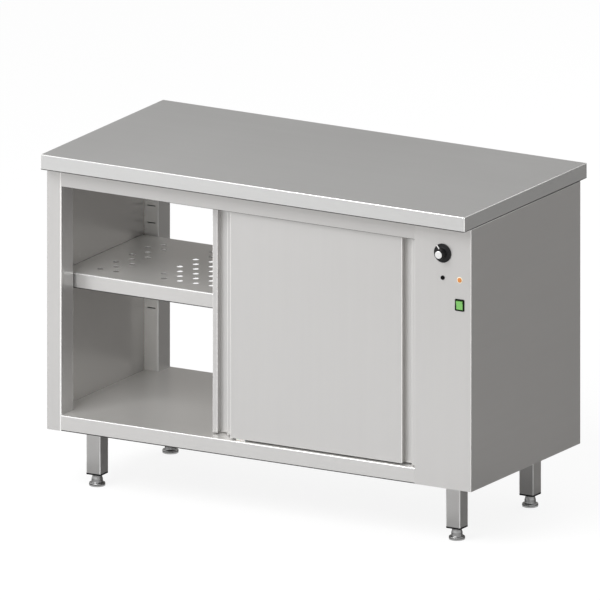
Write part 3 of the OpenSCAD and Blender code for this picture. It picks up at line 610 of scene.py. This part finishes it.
black_plastic = moulded_plastic("black_plastic", (0.010, 0.010, 0.011), roughness=0.38, gloss=0.2)
foot_metal = brushed_steel("foot_metal", (0.38, 0.38, 0.38), 0.36, "z", metallic=1.0, bump=0.004)
softened("leg_plugs", "leg_inserts", "cabinet", "black_plastic", black_plastic, radius=0.0004)
pad_outline = [(0, 0), (19.2, 0), (19.8, 0.3), (20, 0.9), (20, 6.6), (19.7, 7.7), (19, 8.5),
               (17.9, 9), (4.05, 9), (4.05, 4), (0, 4)]
neck_outline = [(0, 4.2), (4, 4.2), (4, 9.1), (14.9, 9.1), (14.3, 9.5), (14, 10.3), (14, 17.7),
                (13.7, 18.8), (12.0, 24.2), (11.75, 25.2), (11.75, 29.5), (11.3, 30), (4.4, 30)]
thread_pitch, thread_foot, thread_top = 1.5, 30, 90
groove, ridge, groove_at, ridge_at = 4.3, 4.95, 0.15, 0.6
for i in range(int((thread_top - thread_foot) / thread_pitch)):
    neck_outline += [(groove, thread_foot + (i + groove_at) * thread_pitch),
                     (ridge, thread_foot + (i + ridge_at) * thread_pitch)]
neck_outline += [(4.2, thread_top), (0, thread_top)]
leg_place = (0.509, 0.1795)
for corner, x, y in (("fl", -1, -1), ("fr", 1, -1), ("rl", -1, 1), ("rr", 1, 1)):
    there = Matrix.Translation((x * leg_place[0], y * leg_place[1], 0))
    finished(placed(turned(pad_outline), there), "foot_disc_" + corner, "pad_" + corner,
             "foot_metal", foot_metal, "foot_pad_" + corner)
    finished(placed(turned(neck_outline), there), "foot_neck_" + corner, "stem_" + corner,
             "foot_metal", foot_metal, "foot_stem_" + corner)

# Controls ----------------------------------------------------------------------------------
# Turning knob with a wide skirt and a metal cap, reset button, pilot lamp and rocker switch,
# all set through holes in the control panel.
front_y = -0.268
knob_x, lamp_x = 0.520, 0.568
knob_z, lamp_z, switch_z = 0.7475, 0.685, 0.6215


def on_panel(x, z):
    """Turns a piece made towards +Z to face the front, at this place on the panel."""
    return Matrix.Translation((x, front_y, z)) @ Matrix.Rotation(radians(90), 4, "X")


softened("thermostat_bodies", "thermostats", "cabinet", "black_plastic", black_plastic,
         radius=0.0003)
knob_outline = [(0, 0.4), (23.4, 0.4), (24, 0.9), (24, 2.1), (23.5, 2.6), (22.6, 2.75),
                (13.6, 2.8), (13.2, 3.1), (13, 3.8), (12.8, 19.2), (12.5, 20.1), (11.8, 20.7),
                (10.6, 20.8), (9.7, 20.6), (0, 20.6)]
knob_steps, groove_pitch, groove_depth = 72, 3, 0.0004
groove_low, groove_high = 0.0035, 0.0195
knob = turned(knob_outline, knob_steps)
for vert in knob.verts:
    step = round(atan2(vert.co.y, vert.co.x) / (2 * pi / knob_steps))
    if groove_low < vert.co.z < groove_high and step % groove_pitch == 0:
        vert.co.xy *= 1 - groove_depth / vert.co.xy.length
finished(placed(knob, on_panel(knob_x, knob_z)), "knob_body", "knob", "black_plastic",
         black_plastic, "thermostat_knob")

cap_outline = [(0, 20.85), (9, 20.85), (9.45, 21.05), (9.45, 21.9), (9.1, 22.2), (8.6, 22.3),
               (0, 22.3)]
# The cap is turned, so its fine rings run round the knob's axis
ring_scale = 2600
cap_metal, shaders, links = new_material("cap_metal")
surface = shaders.new("ShaderNodeBsdfPrincipled")
surface.inputs["Metallic"].default_value = 0.7
place = shaders.new("ShaderNodeTexCoord")
centre = shaders.new("ShaderNodeMapping")
centre.inputs["Location"].default_value = (-knob_x, 0, -knob_z)
links.new(place.outputs["Object"], centre.inputs["Vector"])
flat = shaders.new("ShaderNodeVectorMath")
flat.operation = "MULTIPLY"
flat.inputs[1].default_value = (1, 0, 1)
links.new(centre.outputs[0], flat.inputs[0])
distance = shaders.new("ShaderNodeVectorMath")
distance.operation = "LENGTH"
links.new(flat.outputs[0], distance.inputs[0])
rings = shaders.new("ShaderNodeTexNoise")
rings.noise_dimensions = "1D"
rings.inputs["Scale"].default_value = ring_scale
links.new(distance.outputs["Value"], rings.inputs["W"])
shade = shaders.new("ShaderNodeValToRGB")
shade.color_ramp.elements[0].color = (0.70, 0.70, 0.70, 1)
shade.color_ramp.elements[1].color = (0.84, 0.84, 0.84, 1)
links.new(rings.outputs["Fac"], shade.inputs["Fac"])
links.new(shade.outputs[0], surface.inputs["Base Color"])
dull = shaders.new("ShaderNodeMapRange")
dull.inputs["To Min"].default_value = 0.25
dull.inputs["To Max"].default_value = 0.45
links.new(rings.outputs["Fac"], dull.inputs["Value"])
links.new(dull.outputs[0], surface.inputs["Roughness"])
links.new(surface.outputs[0], shaders.new("ShaderNodeOutputMaterial").inputs["Surface"])
finished(placed(turned(cap_outline), on_panel(knob_x, knob_z)), "knob_disc", "knob", "cap_metal",
         cap_metal, "knob_cap")


def rounded_block(low, high, radius):
    """A block between two corners, in mm, with rounded edges."""
    bm = bmesh.new()
    bmesh.ops.create_cube(bm, size=1)
    size = [(b - a) / 1000 for a, b in zip(low, high)]
    middle = [(b + a) / 2000 for a, b in zip(low, high)]
    placed(bm, Matrix.Translation(middle) @ Matrix.Diagonal(size + [1]))
    bmesh.ops.bevel(bm, geom=list(bm.edges), offset=radius / 1000, segments=2, profile=0.5,
                    affect="EDGES", clamp_overlap=True, material=-1)
    smooth_below(bm)
    return bm


white_mark = moulded_plastic("white_mark", (0.84, 0.84, 0.83), roughness=0.5)
pointer = rounded_block((13.4, -1.7, 0.6), (24.15, 1.7, 2.95), 0.2)
pointer_turn = Matrix.Rotation(radians(131), 4, "Z")
finished(placed(pointer, on_panel(knob_x, knob_z) @ pointer_turn), "knob_pointer", "knob",
         "black_plastic", white_mark)

matt_black = moulded_plastic("matt_black", (0.003, 0.003, 0.003), roughness=0.5, gloss=0.05)
softened("reset_pin", "reset_button", "button", "black_plastic", matt_black, radius=0.0005)

rim_plastic = moulded_plastic("lamp_rim", (0.92, 0.80, 0.60), roughness=0.3)
amber_lens = moulded_plastic("amber_lens", (0.62, 0.215, 0.045), roughness=0.2)
lamp_rim_outline = [(0, -22), (4.9, -22), (5.2, -21.5), (5.2, 0), (7.8, 0), (8, 0.25), (7.9, 0.7),
                    (7.3, 1), (6.05, 1), (6.05, 0.5), (0, 0.5)]
finished(placed(turned(lamp_rim_outline), on_panel(lamp_x, lamp_z)), "lamp_rim", "cabinet",
         "amber_lens", rim_plastic, "pilot_lamp")
lens_outline = [(0, 0.55), (6, 0.55), (6, 1.2), (5.7, 1.6), (5, 2), (3.6, 2.35), (1.8, 2.48),
                (0, 2.5)]
finished(placed(turned(lens_outline), on_panel(lamp_x, lamp_z)), "lamp_lens", "cabinet",
         "amber_lens", amber_lens)

# The switch's frame starts as a plate. Its front is sunk for the rocker, and its rear is drawn
# out into the box behind the panel
frame_width, frame_height, frame_depth = 0.026, 0.030, 0.002
frame_corner, frame_edge = 0.0028, 0.0006
bezel = bmesh.new()
bmesh.ops.create_cube(bezel, size=1)
placed(bezel, Matrix.Translation((0, 0, frame_depth / 2))
       @ Matrix.Diagonal((frame_width, frame_height, frame_depth, 1)))
uprights = [edge for edge in bezel.edges
            if abs(edge.verts[0].co.z - edge.verts[1].co.z) > frame_depth / 2]
bmesh.ops.bevel(bezel, geom=uprights, offset=frame_corner, segments=5, profile=0.5,
                affect="EDGES", material=-1)
rim = [edge for edge in bezel.edges if min(vert.co.z for vert in edge.verts) > frame_depth / 2]
bmesh.ops.bevel(bezel, geom=rim, offset=frame_edge, segments=3, profile=0.5,
                affect="EDGES", material=-1)
bezel.normal_update()
for side, inset, depth in ((1, 0.0029, 0.0138), (-1, 0.0020, 0.024)):
    face = max(bezel.faces, key=lambda f: f.normal.z * side * f.calc_area())
    bmesh.ops.inset_region(bezel, faces=[face], thickness=inset, use_even_offset=True)
    grown = bmesh.ops.extrude_face_region(bezel, geom=[face])
    moved = [item for item in grown["geom"] if isinstance(item, bmesh.types.BMVert)]
    bmesh.ops.delete(bezel, geom=[face], context="FACES")
    bmesh.ops.translate(bezel, vec=(0, 0, -depth), verts=moved)
bmesh.ops.recalc_face_normals(bezel, faces=bezel.faces)
smooth_below(bezel)
switch_black = moulded_plastic("switch_black", (0.002, 0.007, 0.002), roughness=0.4, gloss=0.08)
finished(placed(bezel, on_panel(lamp_x, switch_z)), "switch_frame", "cabinet", "black_plastic",
         switch_black, "power_switch")
green_rocker = moulded_plastic("green_rocker", (0.19, 0.50, 0.12), roughness=0.25)
softened("rocker_cap", "switch_rocker", "rocker", "green_rocker", green_rocker, radius=0.0006)

# Rear cover's fittings ---------------------------------------------------------------------
# Eight pan-head screws of plated steel with a cross recess, and a black nylon cable gland: a
# threaded tube with a hexagon collar outside, a hexagon nut inside and a ribbed cap.


def facing_rear(x, y, z):
    """Turns a piece made towards +Z to face the rear, at this place."""
    return Matrix.Translation((x, y, z)) @ Matrix.Rotation(radians(-90), 4, "X")


def joined(shapes):
    """Several shapes in one mesh."""
    whole = bmesh.new()
    for shape in shapes:
        mesh = bpy.data.meshes.new("shape")
        shape.to_mesh(mesh)
        shape.free()
        whole.from_mesh(mesh)
        bpy.data.meshes.remove(mesh)
    return whole


low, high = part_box("cover_screws")
head_radius, head_height, rows = 0.004, 0.002, 4
screw_outline = [(0, -4), (1.7, -4), (2, -3.7), (2, 0), (4, 0), (4, 0.6), (3.7, 1.25), (3.1, 1.7),
                 (2.3, 1.95), (1.7, 2), (1.5, 2), (1.3, 1.1), (0, 0.9)]
# The recess starts as a round dish, and what lies between the arms of the cross is drawn inward
recess_floor, recess_in, recess_out, quarter, drawn_in = 0.001, 0.0005, 0.0016, 12, 0.35
screws = []
for x in (low.x + head_radius, high.x - head_radius):
    for i in range(rows):
        z = low.z + head_radius + i * (high.z - low.z - 2 * head_radius) / (rows - 1)
        screw = turned(screw_outline)
        for vert in screw.verts:
            step = round(atan2(vert.co.y, vert.co.x) / (2 * pi) * round_steps) % quarter
            if (vert.co.z > recess_floor and recess_in < vert.co.xy.length < recess_out
                    and 1 < step < quarter - 1):
                vert.co.xy *= drawn_in
        screws.append(placed(screw, facing_rear(x, high.y - head_height, z)))
finished(joined(screws), "pan_head_screws", "cabinet", "plated_steel", plated_steel,
         "cover_screws")

low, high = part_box("cable_gland")
reach_out, hexagon = 0.016, 6
tube = turned([(4.5, -10), (8.1, -10), (8.5, -9.6), (8.5, 1), (4.5, 1), (4.5, -10)])
nut = turned([(8.4, -6), (10, -6), (10.5, -5.6), (10.5, -1), (8.4, -1), (8.4, -6)], hexagon)
collar = turned([(8.4, 0), (11.5, 0), (11.5, 7.4), (10.8, 8), (8.4, 8), (8.4, 0)], hexagon)
cap = turned([(4.5, 0.5), (8.4, 0.5), (9.5, 8), (9.5, 8.6), (9.5, 13.4), (8.9, 15), (7.3, 16),
              (5, 16), (4.5, 15.5), (4.5, 0.5)])
rib_low, rib_high, rib_inside, rib_pitch, rib_cut = 0.0083, 0.0155, 0.0085, 4, 0.93
for vert in cap.verts:
    step = round(atan2(vert.co.y, vert.co.x) / (2 * pi) * round_steps)
    if (rib_low < vert.co.z < rib_high and step % rib_pitch == 0
            and vert.co.xy.length > rib_inside):
        vert.co.xy *= rib_cut
gland = placed(joined([tube, nut, collar, cap]),
               facing_rear((low.x + high.x) / 2, high.y - reach_out, (low.z + high.z) / 2))
finished(gland, "gland_body", "cabinet", "black_plastic", black_plastic, "cable_gland")

# Heating unit ------------------------------------------------------------------------------
# A pressed casing with a motor on the column's side of the partition, and the impeller and the
# ring of heating tube in it.
fan_metal = brushed_steel("fan_metal", (0.55, 0.55, 0.56), 0.36, "y")
dress("heater_element", brushed_steel("heater_steel", (0.20, 0.18, 0.165), 0.5, "y"))
dress("fan_motor", fan_metal)
dress("fan_impeller", fan_metal)
